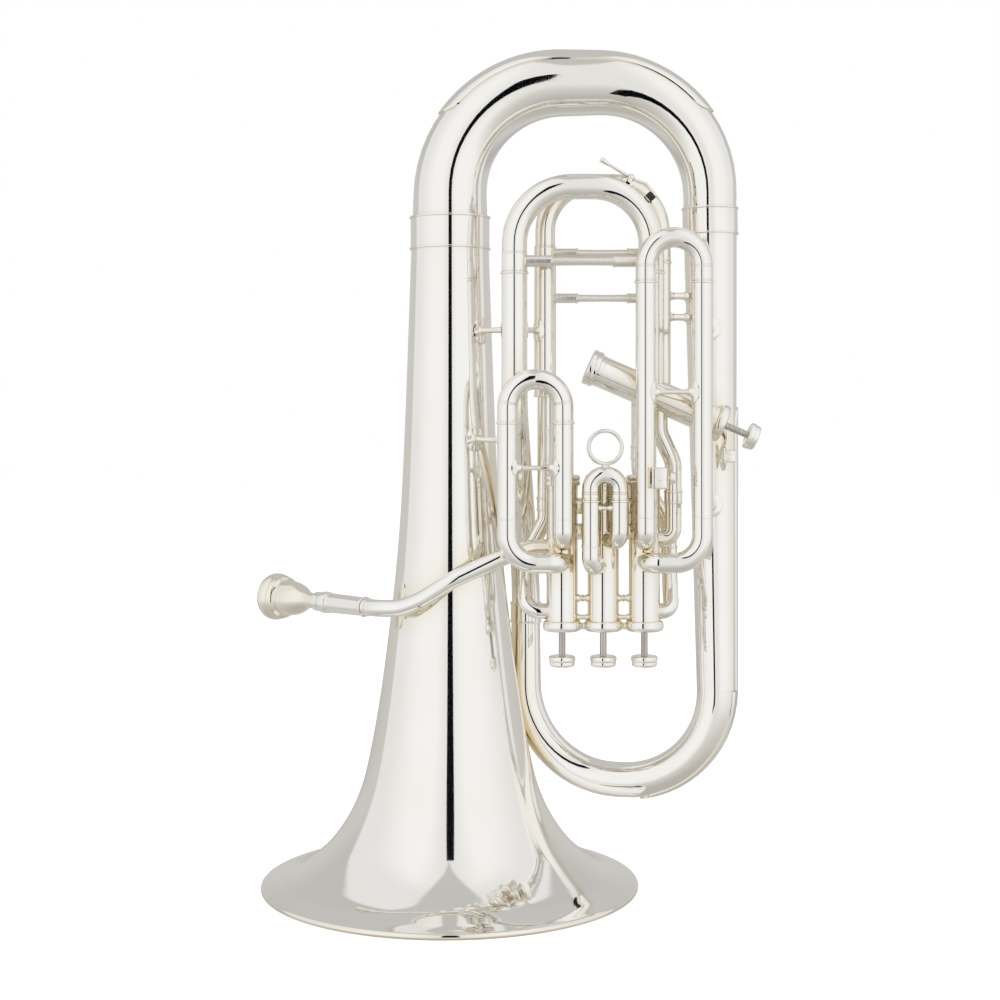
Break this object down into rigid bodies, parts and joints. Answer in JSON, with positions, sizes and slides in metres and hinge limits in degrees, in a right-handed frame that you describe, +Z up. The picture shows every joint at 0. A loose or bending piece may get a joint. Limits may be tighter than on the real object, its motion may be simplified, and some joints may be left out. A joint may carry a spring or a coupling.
{
  "type": "compensating euphonium",
  "caption": "Silver-plated compensating euphonium with front piston valves and a side valve, standing on its bell; its slides pull, valves press and water key opens.",
  "frame": {"origin": "bottom centre of the bounding box, in the plane of the bell's rim", "axes": "+Z up along the bell from its rim to the large bow, -Y towards the valve slides, +X from the bell to the right branch"},
  "size_m": [0.4088, 0.305, 0.678],
  "materials": {
    "silver": "polished silver plate",
    "steel": "satin nickel alloy",
    "pearl": "pearl inlay in a silver cup",
    "cork": "black water key cork"
  },
  "bodies": {
    "instrument": {"bell": "silver", "bell_ferrule": "silver", "top_bow": "silver", "top_bow_guard": "silver", "right_branch": "silver", "right_branch_guard": "silver", "lower_bow": "silver", "lower_bow_guard": "silver", "left_branch": "silver", "tuning_right_sleeve": "silver", "fourth_slide_sleeves": "silver", "fourth_return_tube": "silver", "slide_1_sleeves": "silver", "slide_2_sleeves": "silver", "slide_3_sleeves": "silver", "leadpipe": "silver", "mouthpiece_receiver": "silver", "lyre_box": "silver", "thumb_ring": "silver", "valve_3_to_4_tube": "silver", "compensating_return_tube": "silver", "compensating_loop_1": "silver", "compensating_loop_2": "silver", "compensating_loop_3": "silver", "bell_brace": "silver", "valve_1_casing": "silver", "valve_1_top_cap": "silver", "valve_1_bottom_cap": "silver", "valve_1_spring": "steel", "valve_2_casing": "silver", "valve_2_top_cap": "silver", "valve_2_bottom_cap": "silver", "valve_2_spring": "steel", "valve_3_casing": "silver", "valve_3_top_cap": "silver", "valve_3_bottom_cap": "silver", "valve_3_spring": "steel", "valve_4_casing": "silver", "valve_4_top_cap": "silver", "valve_4_bottom_cap": "silver", "valve_4_spring": "steel"},
    "main_slide": {"main_tuning_slide": "silver", "water_key_saddle": "silver"},
    "water_key": {"water_key_lever": "silver", "water_key_cork": "cork"},
    "fourth_valve_slide": {"fourth_slide": "silver"},
    "first_slide": {"slide_1": "silver"},
    "second_slide": {"slide_2": "silver", "slide_2_pull_ring": "silver"},
    "third_slide": {"slide_3": "silver"},
    "mouthpiece_body": {"mouthpiece": "silver"},
    "lyre_thumb_screw": {"lyre_screw": "silver"},
    "valve_1_moving": {"valve_1_piston": "steel", "valve_1_button": "pearl"},
    "valve_2_moving": {"valve_2_piston": "steel", "valve_2_button": "pearl"},
    "valve_3_moving": {"valve_3_piston": "steel", "valve_3_button": "pearl"},
    "valve_4_moving": {"valve_4_piston": "steel", "valve_4_button": "pearl"}
  },
  "joints": [
    {"name": "main_tuning_slide_pull", "type": "slide", "parent": "instrument", "child": "main_slide", "axis": [0, 0, 1], "range_m": [0, 0.045]},
    {"name": "fourth_slide_pull", "type": "slide", "parent": "instrument", "child": "fourth_valve_slide", "axis": [0, 0, 1], "range_m": [0, 0.04]},
    {"name": "slide_1_pull", "type": "slide", "parent": "instrument", "child": "first_slide", "axis": [0, 0, 1], "range_m": [0, 0.038]},
    {"name": "slide_2_pull", "type": "slide", "parent": "instrument", "child": "second_slide", "axis": [0, 0, 1], "range_m": [0, 0.012]},
    {"name": "slide_3_pull", "type": "slide", "parent": "instrument", "child": "third_slide", "axis": [0, 0, 1], "range_m": [0, 0.045]},
    {"name": "valve_1_press", "type": "slide", "parent": "instrument", "child": "valve_1_moving", "axis": [0, 0, 1], "range_m": [0, 0.0165], "stiffness_N_per_m": 150, "springref_m": -0.015, "deforming": ["valve_1_spring"]},
    {"name": "valve_2_press", "type": "slide", "parent": "instrument", "child": "valve_2_moving", "axis": [0, 0, 1], "range_m": [0, 0.0165], "stiffness_N_per_m": 150, "springref_m": -0.015, "deforming": ["valve_2_spring"]},
    {"name": "valve_3_press", "type": "slide", "parent": "instrument", "child": "valve_3_moving", "axis": [0, 0, 1], "range_m": [0, 0.0165], "stiffness_N_per_m": 150, "springref_m": -0.015, "deforming": ["valve_3_spring"]},
    {"name": "valve_4_press", "type": "slide", "parent": "instrument", "child": "valve_4_moving", "axis": [-0.9178, 0, 0.3971], "range_m": [0, 0.0165], "stiffness_N_per_m": 150, "springref_m": -0.015, "deforming": ["valve_4_spring"]},
    {"name": "water_key_hinge", "type": "hinge", "parent": "main_slide", "child": "water_key", "pos_m": [0.10036, -0.045, 0.5684], "axis": [0, -1, 0], "range_deg": [0, 12], "stiffness_Nm_per_rad": 0.05, "springref_deg": -20.05},
    {"name": "mouthpiece_pull", "type": "slide", "parent": "instrument", "child": "mouthpiece_body", "axis": [-0.72, 0.694, 0], "range_m": [0, 0.022]},
    {"name": "lyre_screw_turn", "type": "hinge", "parent": "instrument", "child": "lyre_thumb_screw", "pos_m": [0.12886, -0.0807, 0.3335], "axis": [1, 0, 0], "continuous": true}
  ]
}
